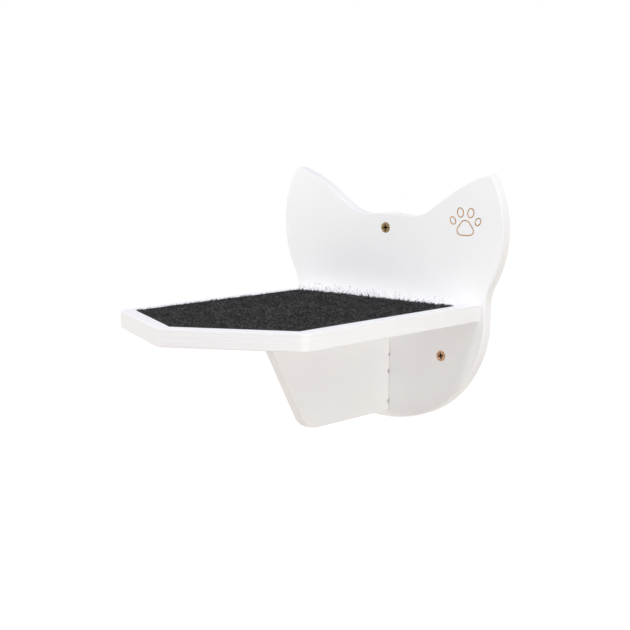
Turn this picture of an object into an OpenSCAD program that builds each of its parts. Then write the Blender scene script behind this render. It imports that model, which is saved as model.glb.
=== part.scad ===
// Wall-mounted cat step: a cat-head back panel, a pointed tray with an inlaid felt pad, and a
// bracket under it. +Z is up, +Y points into the wall and +X is to the viewer's right.
// The origin is on the panel's back face, in its middle, level with the top of the tray's rim.

/* [Back panel] */
// Thickness of the back panel
panel_t = 15; // [12:0.5:22]
// Widest part of the head, across the cheeks
panel_w = 306; // [294:2:320]
// Height of the widest part above the tray
cheek_z = 80; // [76:1:85]
// Radius of the cheek's curve
cheek_r = 120; // [112:1:130]
// Width of the panel at tray level
neck_w = 264; // [258:1:270]
// Radius of the hollow curve between cheek and jaw
neck_r = 40; // [28:1:50]
// Radius of the jaw's curve
jaw_r = 121; // [110:1:126]
// Depth of the chin below the tray's rim
chin_z = 141; // [138:1:165]
// Radius of the chin's curve
chin_r = 165; // [156:1:174]
// Height of the brow between the ears
brow_h = 95.2; // [90:0.1:100]
// Radius of the brow's curve
brow_r = 175; // [125:5:225]
// Distance of each ear's foot from the middle
ear_foot_x = 30; // [26:1:35]
// Radius of the hollow curve at the ear's foot
ear_foot_r = 48; // [40:1:54]
// Slope of the ear's inner edge, in degrees
ear_slope = 35.2; // [33:0.1:37]
// Length of the straight stretch of the ear's inner edge
ear_line = 25; // [18:1:32]
// Radius of the curve from that stretch to the tip
ear_r = 195; // [175:5:225]
// Radius of the ear's tip
tip_r = 3.5; // [2:0.5:6]

/* [Tray] */
// Thickness of the tray's board
tray_t = 18; // [15:0.5:24]
// Width of the tray
tray_w = 250; // [220:2:256]
// Length of the tray's straight side
tray_side = 304; // [260:2:330]
// Length of the tray from the panel to its point
tray_len = 376; // [360:2:410]
// Radius of the tray's point, in plan
nose_r = 20; // [10:1:30]
// Radius of the tray's side corners, in plan
corner_r = 14; // [6:1:20]
// Width of the rim at the sides and front
rim_w = 15.5; // [12:0.5:24]
// Width of the rim along the panel
rear_rim = 28; // [20:1:40]
// Depth of the pocket that holds the felt
pocket_d = 3.5; // [2:0.5:5]

/* [Felt pad] */
// Thickness of the felt pad
felt_t = 4; // [3:0.5:8]
// Gap between the felt and the pocket's walls
felt_gap = 0.3; // [0.1:0.1:1]

/* [Bracket] */
// Thickness of the bracket's board
gusset_t = 12; // [12:0.5:18]
// Height of the bracket below the tray
gusset_h = 115.5; // [95:0.5:118]
// Reach of the bracket along the tray, from the panel
gusset_reach = 224; // [200:1:250]
// Reach of the bracket along its foot, from the panel
gusset_foot = 150; // [135:1:170]
// Radius of the bracket's lower front corner
gusset_r = 30; // [10:1:36]

/* [Wall screws] */
// Diameter of the wall screws' shank
wall_screw_d = 6; // [4:0.5:6]
// Diameter of their smooth neck, which lies in the panel
wall_neck_d = 5; // [3.5:0.1:5.4]
// Gap between the panel's back and the start of their thread
thread_gap = 0.5; // [0.3:0.1:1]
// Diameter of the wall screws' head
wall_head_d = 12; // [9:0.5:12]
// Length of the wall screws
wall_screw_len = 60; // [50:1:80]
// Sideways place of the upper wall screw
top_screw_x = -4; // [-6:1:6]
// Height of the upper wall screw
top_screw_z = 78; // [71:1:82]
// Distance of each lower wall screw from the middle
low_screw_x = 76; // [50:1:90]
// Depth of the lower wall screws below the rim
low_screw_z = 62; // [45:1:80]

/* [Assembly screws and dowels] */
// Diameter of the screws that hold the tray to the panel
tray_screw_d = 4.5; // [4:0.5:5]
// Diameter of those screws' head
tray_head_d = 9; // [8:0.5:10]
// Length of those screws
tray_screw_len = 50; // [40:1:60]
// Distance of each of those screws from the tray's side
tray_screw_side = 66; // [50:1:80]
// Diameter of the screws that hold the bracket
gusset_screw_d = 4; // [3:0.5:4]
// Diameter of those screws' head
gusset_head_d = 8; // [6:0.5:8]
// Length of those screws
gusset_screw_len = 45; // [35:1:50]
// Depth of the upper bracket screw below the tray
gusset_screw_up = 28; // [22:1:40]
// Height of the lower bracket screw above the bracket's foot
gusset_screw_low = 26; // [20:1:32]
// Distance of the rear tray-to-bracket screw from the panel
deck_screw_rear_y = 60; // [56:1:85]
// Distance of the front tray-to-bracket screw from the panel
deck_screw_front_y = 165; // [120:1:178]
// Diameter of the wooden dowels
dowel_d = 8; // [6:1:10]
// Length of the wooden dowels
dowel_len = 32; // [28:1:40]
// Depth that a dowel reaches into the panel
dowel_in = 10; // [8:0.5:11]
// Distance of each dowel from the tray's side
dowel_side = 31; // [20:1:40]

/* [Fits] */
// Gap around a screw's shank where it passes freely
shank_gap = 0.25; // [0.1:0.05:0.4]
// Gap around a shank or dowel that holds in its hole
tight_gap = 0.05; // [0.02:0.01:0.1]
// Gap between a head and its countersink
head_gap = 0.2; // [0.1:0.05:0.4]
// Depth of a head below the face
head_sink = 0.3; // [0.1:0.1:1]
// Free length at the end of a hole
end_gap = 0.8; // [0.3:0.1:0.9]

/* [Hidden] */
$fn = 64;
cut = 1;
white = [0.93, 0.93, 0.93];
brass = [0.62, 0.52, 0.33];
zinc = [0.72, 0.7, 0.62];
charcoal = [0.15, 0.15, 0.16];
beech = [0.76, 0.6, 0.42];

tray_screw_x = tray_w / 2 - tray_screw_side;
dowel_x = tray_w / 2 - dowel_side;
wall_neck_len = panel_t - head_sink + thread_gap;
front_y = -panel_t;
joint_z = -tray_t / 2;
foot_z = -tray_t - gusset_h;
gusset_up_z = -tray_t - gusset_screw_up;
gusset_low_z = foot_z + gusset_screw_low;

// The head's outline is a chain of arcs that meet tangentially. Centres are in the panel's plane.
chin_c = [0, chin_r - chin_z];
jaw_x = neck_w / 2 - jaw_r;
jaw_c = [jaw_x, chin_c[1] - sqrt(pow(chin_r - jaw_r, 2) - pow(jaw_x, 2))];
cheek_c = [panel_w / 2 - cheek_r, cheek_z];
neck_x = neck_w / 2 + neck_r;
neck_c = [neck_x, cheek_z - sqrt(pow(cheek_r + neck_r, 2) - pow(neck_x - cheek_c[0], 2))];
brow_c = [0, brow_h - brow_r];
foot_c = [ear_foot_x, brow_c[1] + sqrt(pow(brow_r + ear_foot_r, 2) - pow(ear_foot_x, 2))];
ear_normal = [sin(ear_slope), -cos(ear_slope)];
ear_along = [cos(ear_slope), sin(ear_slope)];
line_end = foot_c + ear_foot_r * ear_normal + ear_line * ear_along;
ear_c = line_end + ear_r * ear_normal;
tip_c = meet(cheek_c, cheek_r - tip_r, ear_c, ear_r - tip_r);

// Direction from one point to another, in degrees
function bearing(a, b) = atan2(b[1] - a[1], b[0] - a[0]);

// The upper point where two circles meet
function meet(a, ra, b, rb) =
    let (
        d = norm(b - a),
        along = (ra * ra - rb * rb + d * d) / (2 * d),
        off = sqrt(ra * ra - along * along),
        u = (b - a) / d
    ) a + along * u + off * [-u[1], u[0]] * (u[0] >= 0 ? 1 : -1);

// Points on an arc from angle a0 to a1 in n steps, without its last point unless closed is 1
function arc(c, r, a0, a1, n, closed = 0) =
    [for (i = [0:n - 1 + closed]) let (a = a0 + (a1 - a0) * i / n) c + r * [cos(a), sin(a)]];

// Right half of the head, from the middle of the chin up to the middle of the brow
half_head = concat(
    arc(chin_c, chin_r, -90, bearing(chin_c, jaw_c), 8),
    arc(jaw_c, jaw_r, bearing(chin_c, jaw_c), 0, 16),
    arc(neck_c, neck_r, 180, bearing(neck_c, cheek_c), 6),
    arc(cheek_c, cheek_r, bearing(neck_c, cheek_c) - 180, bearing(cheek_c, tip_c), 18),
    arc(tip_c, tip_r, bearing(cheek_c, tip_c), bearing(ear_c, tip_c), 5),
    arc(ear_c, ear_r, bearing(ear_c, tip_c), 90 + ear_slope, 8, 1),
    arc(foot_c, ear_foot_r, ear_slope - 90, bearing(foot_c, brow_c), 8),
    arc(brow_c, brow_r, bearing(brow_c, foot_c), 90, 4, 1)
);
head_points = concat(half_head, [for (i = [len(half_head) - 2:-1:1]) [-half_head[i][0], half_head[i][1]]]);

function unit(v) = v / norm(v);

// One corner of a polygon: the point itself, or an arc of radius r that rounds it
function corner(p, before, after, r, n = 10) =
    r <= 0 ? [p] :
    let (
        u = unit(before - p),
        v = unit(after - p),
        h = acos(u * v) / 2,
        c = p + unit(u + v) * r / sin(h),
        a0 = bearing(c, p + u * r / tan(h)),
        a1 = bearing(c, p + v * r / tan(h)),
        turn = a1 - a0 > 180 ? a1 - a0 - 360 : a1 - a0 < -180 ? a1 - a0 + 360 : a1 - a0
    ) [for (i = [0:n]) let (a = a0 + turn * i / n) c + r * [cos(a), sin(a)]];

// A polygon with each corner rounded by its own radius
function rounded(points, radii) =
    let (m = len(points))
    [for (i = [0:m - 1]) each corner(points[i], points[(i + m - 1) % m], points[(i + 1) % m], radii[i])];

nose_angle = atan2(tray_len - tray_side, tray_w / 2);
pocket_x = tray_w / 2 - rim_w;
pocket_nose = tray_len - rim_w / cos(nose_angle);

// The tray's outline: two straight sides and a pointed front
function tray_outline() = rounded(
    [[-tray_w / 2, front_y], [-tray_w / 2, front_y - tray_side], [0, front_y - tray_len],
     [tray_w / 2, front_y - tray_side], [tray_w / 2, front_y]],
    [0, corner_r, nose_r, corner_r, 0]);

// The pocket's outline, drawn in by a gap g for the felt that lies in it
function pocket_outline(g) =
    let (
        x = pocket_x - g,
        tip = front_y - pocket_nose + g / cos(nose_angle),
        side = tip + x * tan(nose_angle),
        rear = front_y - rear_rim - g
    ) [[-x, rear], [-x, side], [0, tip], [x, side], [x, rear]];

// A countersunk screw with its head's face at the origin, pointing along +Z. The head is a
// 90 degree cone, and a neck of its own diameter may lie between the head and the thread.
module screw(d, head_d, len, neck_d = 0, neck_len = 0) {
    under_d = neck_len > 0 ? neck_d : d;
    head_h = (head_d - under_d) / 2;
    thread_z = max(head_h, neck_len);
    tip_h = d * 0.9;
    slot_w = head_d * 0.13;
    slot_l = head_d * 0.52;
    slot_d = head_d * 0.2;
    difference() {
        union() {
            cylinder(h = head_h, d1 = head_d, d2 = under_d);
            if (neck_len > 0)
                translate([0, 0, head_h])
                    cylinder(h = neck_len - head_h, d = neck_d);
            translate([0, 0, thread_z])
                cylinder(h = len - thread_z - tip_h, d = d);
            translate([0, 0, len - tip_h])
                cylinder(h = tip_h, d1 = d, d2 = d * 0.12);
        }
        for (a = [0, 90])
            rotate([0, 0, a])
                translate([-slot_l / 2, -slot_w / 2, -cut])
                    cube([slot_l, slot_w, cut + slot_d]);
    }
}

// A wall screw, whose neck ends just behind the panel
module wall_screw() {
    screw(wall_screw_d, wall_head_d, wall_screw_len, wall_neck_d, wall_neck_len);
}

// The hole that a screw passes through, with its countersink, pointing along +Z from the face
module screw_hole(d, head_d, depth) {
    r = d / 2 + shank_gap;
    top_r = head_d / 2 + head_gap + head_sink;
    translate([0, 0, -cut])
        cylinder(h = depth + 2 * cut, r = r);
    translate([0, 0, -cut])
        cylinder(h = top_r - r + cut, r1 = top_r + cut, r2 = r);
}

// The hole that a screw's thread holds in, pointing along +Z from the joint
module pilot_hole(d, depth) {
    translate([0, 0, -cut])
        cylinder(h = depth + cut + end_gap, r = d / 2 + tight_gap);
}

// Places its child at a wall screw, on the panel's front face and pointing to the wall
module at_front(x, z, sink = 0) {
    translate([x, front_y + sink, z])
        rotate([-90, 0, 0])
            children();
}

// Places its child on the panel's back face, pointing to the front
module at_back(x, z, sink = 0) {
    translate([x, -sink, z])
        rotate([90, 0, 0])
            children();
}

// Places its child at a height over the bracket, pointing down
module at_deck(y, z) {
    translate([0, front_y - y, z])
        rotate([180, 0, 0])
            children();
}

module back_panel() {
    color(white)
        difference() {
            rotate([90, 0, 0])
                linear_extrude(panel_t)
                    polygon(head_points);
            at_front(top_screw_x, top_screw_z)
                screw_hole(wall_screw_d, wall_head_d, panel_t);
            for (side = [-1, 1]) {
                at_front(side * low_screw_x, -low_screw_z)
                    screw_hole(wall_screw_d, wall_head_d, panel_t);
                at_back(side * tray_screw_x, joint_z)
                    screw_hole(tray_screw_d, tray_head_d, panel_t);
                translate([side * dowel_x, front_y - cut, joint_z])
                    rotate([-90, 0, 0])
                        cylinder(h = dowel_in + end_gap + cut, d = dowel_d + 2 * tight_gap);
            }
            for (z = [gusset_up_z, gusset_low_z])
                at_back(0, z)
                    screw_hole(gusset_screw_d, gusset_head_d, panel_t);
        }
}

module tray_board() {
    color(white)
        difference() {
            translate([0, 0, -tray_t])
                linear_extrude(tray_t)
                    polygon(tray_outline());
            translate([0, 0, -pocket_d])
                linear_extrude(pocket_d + cut)
                    polygon(pocket_outline(0));
            for (side = [-1, 1]) {
                translate([side * tray_screw_x, front_y, joint_z])
                    rotate([90, 0, 0])
                        pilot_hole(tray_screw_d, tray_screw_len + head_sink - panel_t);
                translate([side * dowel_x, front_y, joint_z])
                    rotate([90, 0, 0])
                        pilot_hole(dowel_d, dowel_len - dowel_in);
            }
            for (y = [deck_screw_rear_y, deck_screw_front_y])
                at_deck(y, -pocket_d)
                    screw_hole(gusset_screw_d, gusset_head_d, tray_t - pocket_d);
        }
}

module felt_pad() {
    color(charcoal)
        translate([0, 0, -pocket_d])
            linear_extrude(felt_t)
                polygon(pocket_outline(felt_gap));
}

module gusset() {
    color(white)
        difference() {
            rotate([90, 0, 90])
                translate([0, 0, -gusset_t / 2])
                    linear_extrude(gusset_t)
                        polygon(rounded(
                            [[front_y, -tray_t], [front_y, foot_z],
                             [front_y - gusset_foot, foot_z], [front_y - gusset_reach, -tray_t]],
                            [0, 0, gusset_r, 0]));
            for (z = [gusset_up_z, gusset_low_z])
                translate([0, front_y, z])
                    rotate([90, 0, 0])
                        pilot_hole(gusset_screw_d, gusset_screw_len + head_sink - panel_t);
            for (y = [deck_screw_rear_y, deck_screw_front_y])
                at_deck(y, -tray_t)
                    pilot_hole(gusset_screw_d, gusset_screw_len + head_sink - tray_t + pocket_d);
        }
}

module wall_screw_top() {
    color(brass)
        at_front(top_screw_x, top_screw_z, head_sink)
            wall_screw();
}

module wall_screw_left() {
    color(brass)
        at_front(-low_screw_x, -low_screw_z, head_sink)
            wall_screw();
}

module wall_screw_right() {
    color(brass)
        at_front(low_screw_x, -low_screw_z, head_sink)
            wall_screw();
}

module tray_screw_left() {
    color(zinc)
        at_back(-tray_screw_x, joint_z, head_sink)
            screw(tray_screw_d, tray_head_d, tray_screw_len);
}

module tray_screw_right() {
    color(zinc)
        at_back(tray_screw_x, joint_z, head_sink)
            screw(tray_screw_d, tray_head_d, tray_screw_len);
}

module gusset_screw_upper() {
    color(zinc)
        at_back(0, gusset_up_z, head_sink)
            screw(gusset_screw_d, gusset_head_d, gusset_screw_len);
}

module gusset_screw_lower() {
    color(zinc)
        at_back(0, gusset_low_z, head_sink)
            screw(gusset_screw_d, gusset_head_d, gusset_screw_len);
}

module deck_screw_rear() {
    color(zinc)
        at_deck(deck_screw_rear_y, -pocket_d - head_sink)
            screw(gusset_screw_d, gusset_head_d, gusset_screw_len);
}

module deck_screw_front() {
    color(zinc)
        at_deck(deck_screw_front_y, -pocket_d - head_sink)
            screw(gusset_screw_d, gusset_head_d, gusset_screw_len);
}

// A dowel across the joint between the panel and the tray's rear edge
module dowel(side) {
    translate([side * dowel_x, front_y + dowel_in, joint_z])
        rotate([90, 0, 0])
            cylinder(h = dowel_len, d = dowel_d);
}

module dowel_left() {
    color(beech)
        dowel(-1);
}

module dowel_right() {
    color(beech)
        dowel(1);
}

back_panel();
tray_board();
felt_pad();
gusset();
wall_screw_top();
wall_screw_left();
wall_screw_right();
tray_screw_left();
tray_screw_right();
gusset_screw_upper();
gusset_screw_lower();
deck_screw_rear();
deck_screw_front();
dowel_left();
dowel_right();
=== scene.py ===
# %% [markdown]
# # A wall step for cats
# The step has a cat-head back panel, a pointed tray with a felt pad in it, and a bracket below.
# The boards are painted plywood. Every shape here is worked out with numpy as a whole array of
# points and then handed to Blender, so each one can be read as a formula.
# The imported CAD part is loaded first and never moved: it says where each piece belongs.

# %% Load the frame
import math

import bpy
import numpy as np
from mathutils import Matrix, Vector, geometry


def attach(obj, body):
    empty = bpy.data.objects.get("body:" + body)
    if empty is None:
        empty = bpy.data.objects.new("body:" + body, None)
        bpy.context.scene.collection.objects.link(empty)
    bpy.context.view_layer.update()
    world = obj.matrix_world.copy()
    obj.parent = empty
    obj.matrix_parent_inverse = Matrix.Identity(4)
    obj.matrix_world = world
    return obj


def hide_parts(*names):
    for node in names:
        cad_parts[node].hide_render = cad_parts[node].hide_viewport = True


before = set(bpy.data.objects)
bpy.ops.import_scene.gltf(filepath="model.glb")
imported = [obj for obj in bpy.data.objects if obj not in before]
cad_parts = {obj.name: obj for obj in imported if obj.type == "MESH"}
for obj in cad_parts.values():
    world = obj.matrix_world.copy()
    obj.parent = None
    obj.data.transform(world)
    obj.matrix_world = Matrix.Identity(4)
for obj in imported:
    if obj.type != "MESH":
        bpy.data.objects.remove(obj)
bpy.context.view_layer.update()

MM = 0.001  # metres in a millimetre: the formulas use millimetres, Blender uses metres

# %% [markdown]
# ## The camera
# The place and lens come from a fit to the edges seen in the photograph. A camera looks along its
# own -Z axis with +Y up, so its matrix is built from three directions: to the right, up and back.

# %% Set the camera
PHOTO_PX, FOCAL_PX = 630, 1467.0
SENSOR_MM = 36.0
YAW, PITCH, ROLL = np.radians([-38.30, 7.60, -0.87])
CAMERA_AT = np.array([975.3, -1382.6, 199.8]) * MM

forward = np.array([np.sin(YAW) * np.cos(PITCH), np.cos(YAW) * np.cos(PITCH), -np.sin(PITCH)])
level_right = np.array([np.cos(YAW), -np.sin(YAW), 0.0])
level_down = np.cross(forward, level_right)
right = np.cos(ROLL) * level_right + np.sin(ROLL) * level_down
down = np.cos(ROLL) * level_down - np.sin(ROLL) * level_right


def add_object(name, data):
    """A new object in the scene, for this mesh, lamp or camera."""
    new = bpy.data.objects.new(name, data)
    bpy.context.scene.collection.objects.link(new)
    return new


lens = bpy.data.cameras.new("photo_camera")
lens.sensor_width = SENSOR_MM
lens.lens = FOCAL_PX / PHOTO_PX * SENSOR_MM
lens.clip_start, lens.clip_end = 0.05, 50.0  # metres, to past the floor's far edge
camera = add_object("photo_camera", lens)
turn = np.column_stack([right, -down, -forward])
camera.matrix_world = Matrix.Translation(Vector(CAMERA_AT)) @ Matrix(turn.tolist()).to_4x4()
bpy.context.scene.camera = camera
print("lens", round(lens.lens, 2), "mm, camera at", CAMERA_AT.round(3))

# %% [markdown]
# ## Arcs and loops
# A sawn outline is a chain of arcs and straight lines. Each arc is written as its centre, radius
# and two angles, and becomes a run of points about 1.5 mm apart, fine enough to look round.

# %% Arcs and loops
ARC_STEP, CORNER_STEP = 1.5, 0.8  # millimetres between the points of a wide arc, and of a small one
SAME = 1e-6  # points that are nearer than this, in millimetres, are one point


def arc(centre, radius, start, end, step=ARC_STEP):
    """Points on an arc: centre plus radius times (cosine, sine) of an angle that runs evenly
    from start to end, in degrees. The points are at most `step` millimetres apart."""
    count = max(3, int(np.ceil(abs(math.radians(end - start)) * radius / step)))
    angle = np.radians(np.linspace(start, end, count + 1))
    return np.asarray(centre, float) + radius * np.column_stack([np.cos(angle), np.sin(angle)])


def bearing(a, b):
    """Direction from point a to point b: the angle of the step between them, in degrees."""
    return math.degrees(math.atan2(b[1] - a[1], b[0] - a[0]))


def joined(*runs):
    """One closed loop from several runs: all points in a row, without those that repeat."""
    points = np.vstack(runs)
    return points[np.linalg.norm(points - np.roll(points, 1, axis=0), axis=1) > SAME]


def rounded(corners, radii):
    """A polygon with rounded corners. Each corner becomes an arc that touches both of its sides:
    the centre lies on the corner's bisector, radius / sin(half the angle) away from it."""
    corners = np.asarray(corners, float)
    runs = []
    for k, radius in enumerate(radii):
        p, before, after = corners[k], corners[k - 1], corners[(k + 1) % len(corners)]
        u = (before - p) / np.linalg.norm(before - p)
        v = (after - p) / np.linalg.norm(after - p)
        half = math.acos(float(u @ v)) / 2
        centre = p + (u + v) / np.linalg.norm(u + v) * radius / math.sin(half)
        a0 = bearing(centre, p + u * radius / math.tan(half))
        a1 = bearing(centre, p + v * radius / math.tan(half))
        a1 = a0 + (a1 - a0 + 180) % 360 - 180  # the short way round
        runs.append(arc(centre, radius, a0, a1, CORNER_STEP))
    return joined(*runs)


def drawn_in(loop, depth):
    """A closed anticlockwise loop moved inwards. Each point slides along the mitre of its corner,
    the sum of the two side normals over (1 + their product), so each side moves by `depth`."""
    along = np.roll(loop, -1, axis=0) - loop
    along = along / np.linalg.norm(along, axis=1)[:, None]
    after = np.column_stack([along[:, 1], -along[:, 0]])
    before = np.roll(after, 1, axis=0)
    mitre = (after + before) / (1 + (after * before).sum(axis=1))[:, None]
    return loop - mitre * np.broadcast_to(depth, len(loop))[:, None]


# %% [markdown]
# ## Patches of surface
# A piece is sewn together from patches. A strip is a stack of closed loops joined by four-sided
# faces. A fill is a flat area between one outer loop and the holes in it. When all patches are
# made, points that fall on the same place are welded, so the finished mesh is closed.
# Each patch carries a mark, a number that its material reads: it tells a sawn edge from a face.

# %% Patches
# Mark 1.3 paints light grey painted shade into the crease at the panel; mark 3.0 paints near-black
# painted shade into the torn nicks and the screws' driver pits.
PLAIN, SAWN, CREASE_SHADE, SCORCHED, PAINTED_SHADE = 0.0, 1.0, 1.3, 2.0, 3.0
NO_AREA = 1e-9  # a triangle with less, in square millimetres, is dropped


def strip(rings, mark=PLAIN):
    """A stack of closed rings as one patch: point (row, column) is joined to the next column and
    the next row by a four-sided face. Seen from the side that shows, columns run to the right and
    rows run upwards."""
    rings = np.asarray(rings, float)
    rows, columns = rings.shape[:2]
    at = np.arange(rows * columns).reshape(rows, columns)
    ahead = np.roll(at, -1, axis=1)
    faces = np.stack([at[:-1], ahead[:-1], ahead[1:], at[1:]], axis=-1).reshape(-1, 4)
    return rings.reshape(-1, 3), faces, mark


def fill(outer, holes, place, facing=1, mark=PLAIN):
    """A flat area as one patch: triangles between an outer loop and the hole loops in it. place
    turns the flat points into space, and facing is 1 or -1 for the side that shows."""
    loops = [np.asarray(loop, float) for loop in (outer, *holes)]
    flat = np.vstack(loops)
    raised = [np.column_stack([loop, np.zeros(len(loop))]).tolist() for loop in loops]
    faces = np.array(geometry.tessellate_polygon(raised))
    a, b, c = flat[faces[:, 0]], flat[faces[:, 1]], flat[faces[:, 2]]
    area = (b[:, 0] - a[:, 0]) * (c[:, 1] - a[:, 1]) - (b[:, 1] - a[:, 1]) * (c[:, 0] - a[:, 0])
    real = np.abs(area) > NO_AREA
    faces, turned = faces[real], area[real] * facing < 0
    faces[turned] = faces[turned][:, ::-1]
    return place(flat), faces, mark


def plane(origin, s_axis, t_axis):
    """A function that turns flat points (s, t), and a height w above them, into space: the
    origin plus s, t and w times the two axes and their cross product."""
    origin, s_axis, t_axis = (np.asarray(v, float) for v in (origin, s_axis, t_axis))
    up = np.cross(s_axis, t_axis)

    def place(flat, w=0.0):
        flat = np.asarray(flat, float)
        height = np.broadcast_to(w, flat.shape[:-1])[..., None]
        return origin + flat[..., :1] * s_axis + flat[..., 1:2] * t_axis + height * up

    return place


def make_piece(name, patches, smooth_angle=35.0, attribute="sawn"):
    """Welds patches into one mesh object: points are rounded to a ten-thousandth of a millimetre
    and each different one is kept once. A four-sided face with two corners on one place becomes a
    triangle. Each face keeps its patch's mark as an attribute."""
    points = np.vstack([p for p, _, _ in patches])
    start = np.cumsum([0] + [len(p) for p, _, _ in patches])
    kept, index = np.unique(np.round(points, 4), axis=0, return_inverse=True)
    index = index.ravel()
    faces, marks = [], []
    for (_, patch_faces, mark), first in zip(patches, start):
        welded = index[patch_faces + first]
        before = len(faces)
        if welded.shape[1] == 4:
            flat = (welded == np.roll(welded, -1, axis=1)).any(axis=1)
            corner, welded = welded[flat], welded[~flat]
            same = np.argmax(corner == np.roll(corner, -1, axis=1), axis=1)
            thin = corner[np.arange(4)[None, :] != same[:, None]].reshape(-1, 3)
            faces += thin[(thin != np.roll(thin, -1, axis=1)).all(axis=1)].tolist()
        faces += welded.tolist()
        marks += [mark] * (len(faces) - before)
    mesh = bpy.data.meshes.new(name)
    mesh.from_pydata((kept * MM).tolist(), [], faces)
    mesh.shade_smooth()
    mesh.set_sharp_from_angle(angle=math.radians(smooth_angle))
    mesh.attributes.new(attribute, "FLOAT", "FACE").data.foreach_set("value", marks)
    mesh.validate()
    piece = add_object(name, mesh)
    weight = piece.modifiers.new("even_shading", "WEIGHTED_NORMAL")
    weight.keep_sharp = True
    print(f"{name}: {len(kept)} points, {len(faces)} faces")
    return piece


# %% [markdown]
# ## Boards with eased edges
# A board is its outline carried through its thickness. Nobody paints a knife-sharp edge: it is
# sanded round first. So the side of a board is a profile (a quarter circle, a straight wall, a
# quarter circle) carried along the outline, and flat fills close the front and back.
# A hole is a profile of radius and depth turned round an axis.

# %% Board builder
EASE_STEPS, CIRCLE_POINTS = 5, 32


def eased_side(loop, low, high, ease, place, mark=SAWN):
    """The side of a board as one patch: each row of the profile draws the loop in by
    ease * (1 - sin a) at a height of ease * (1 - cos a) from the nearer face."""
    ease = np.broadcast_to(ease, len(loop)).astype(float)
    angle = np.radians(np.linspace(0, 90, EASE_STEPS + 1))[:, None]
    inset, rise = ease * (1 - np.sin(angle)), ease * (1 - np.cos(angle))
    rows = [place(drawn_in(loop, i), low + r) for i, r in zip(inset, rise)]
    rows += [place(drawn_in(loop, i), high - r) for i, r in zip(inset[::-1], rise[::-1])]
    return strip(rows, mark), drawn_in(loop, ease)


def circle(centre, radius):
    """Points of a circle, anticlockwise: centre plus radius times (cosine, sine)."""
    angle = np.linspace(0, 2 * np.pi, CIRCLE_POINTS, endpoint=False)
    return np.asarray(centre, float) + radius * np.column_stack([np.cos(angle), np.sin(angle)])


def bore(centre, profile, place, facing=1):
    """The wall of a hole: each (radius, height) pair of the profile is a circle at that height.
    The profile runs into the board, which is downwards for facing 1 and upwards for -1, so the
    wall looks at the hole's middle."""
    rings = [place(circle(centre, r), w) for r, w in profile]
    return strip(rings if facing > 0 else rings[::-1])


# %% [markdown]
# ## The head's outline
# The panel is sawn from one board. Its outline is a chain of arcs that meet without a corner:
# chin, jaw, hollow neck, cheek, ear tip, the ear's inner edge, the hollow at the ear's foot and
# the brow. Only the right half is worked out, and the left half is its mirror image.

# %% Outline of the head
PANEL_T = 15.0
CHIN_R, JAW_R, NECK_R, CHEEK_R = 165, 121, 40, 120
TIP_R, EAR_R, FOOT_R, BROW_R = 3.5, 195, 48, 175
CHIN_Z, BROW_Z = -141.0, 95.2  # heights of the outline on its middle line
JAW_X, NECK_X, FOOT_X = 11.0, 172.0, 30.0  # how far out the centres of three arcs lie
CHEEK_AT = (33.0, 80.0)
EAR_SLOPE, EAR_LINE = 35.2, 25.0  # slope in degrees and length of the ear's straight stretch


def centre_below(a, reach, x):
    """The centre of a circle that touches another one: it lies at x, and below the other centre
    by the square root of reach squared minus the sideways distance squared."""
    return np.array([x, a[1] - math.sqrt(reach**2 - (x - a[0]) ** 2)])


def circles_meet(a, ra, b, rb):
    """The upper point where two circles meet, by the cosine rule along the line of centres."""
    gap = np.linalg.norm(b - a)
    along = (ra**2 - rb**2 + gap**2) / (2 * gap)
    u = (b - a) / gap
    side = 1 if u[0] >= 0 else -1
    return a + along * u + side * math.sqrt(ra**2 - along**2) * np.array([-u[1], u[0]])


chin = np.array([0.0, CHIN_Z + CHIN_R])
jaw = centre_below(chin, CHIN_R - JAW_R, JAW_X)
cheek = np.array(CHEEK_AT)
neck = centre_below(cheek, CHEEK_R + NECK_R, NECK_X)
brow = np.array([0.0, BROW_Z - BROW_R])
ear_foot = np.array([FOOT_X, brow[1] + math.sqrt((BROW_R + FOOT_R) ** 2 - FOOT_X**2)])
slope = math.radians(EAR_SLOPE)
ear_normal = np.array([math.sin(slope), -math.cos(slope)])
line_end = ear_foot + FOOT_R * ear_normal + EAR_LINE * np.array([math.cos(slope), math.sin(slope)])
ear = line_end + EAR_R * ear_normal
tip = circles_meet(cheek, CHEEK_R - TIP_R, ear, EAR_R - TIP_R)

half_head = np.vstack([
    arc(chin, CHIN_R, -90, bearing(chin, jaw)),
    arc(jaw, JAW_R, bearing(chin, jaw), 0),
    arc(neck, NECK_R, 180, bearing(neck, cheek)),
    arc(cheek, CHEEK_R, bearing(neck, cheek) - 180, bearing(cheek, tip)),
    arc(tip, TIP_R, bearing(cheek, tip), bearing(ear, tip), 0.5),
    arc(ear, EAR_R, bearing(ear, tip), 90 + EAR_SLOPE),
    arc(ear_foot, FOOT_R, EAR_SLOPE - 90, bearing(ear_foot, brow)),
    arc(brow, BROW_R, bearing(brow, ear_foot), 90),
])
head = joined(half_head, half_head[::-1] * [-1, 1])
print("head:", len(head), "points,", np.ptp(head, axis=0).round(1), "mm")

# %% [markdown]
# ## The back panel
# The panel is flat, so its two faces are fills with holes for the screws and dowels. The wall
# screws go in from the front through a hole with a countersink, a 90 degree cone for the head.
# On the right ear is a paw print in thin scorched lines. A groove is a small profile, down the
# wall, across the floor and up again, carried along a closed line.

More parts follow.
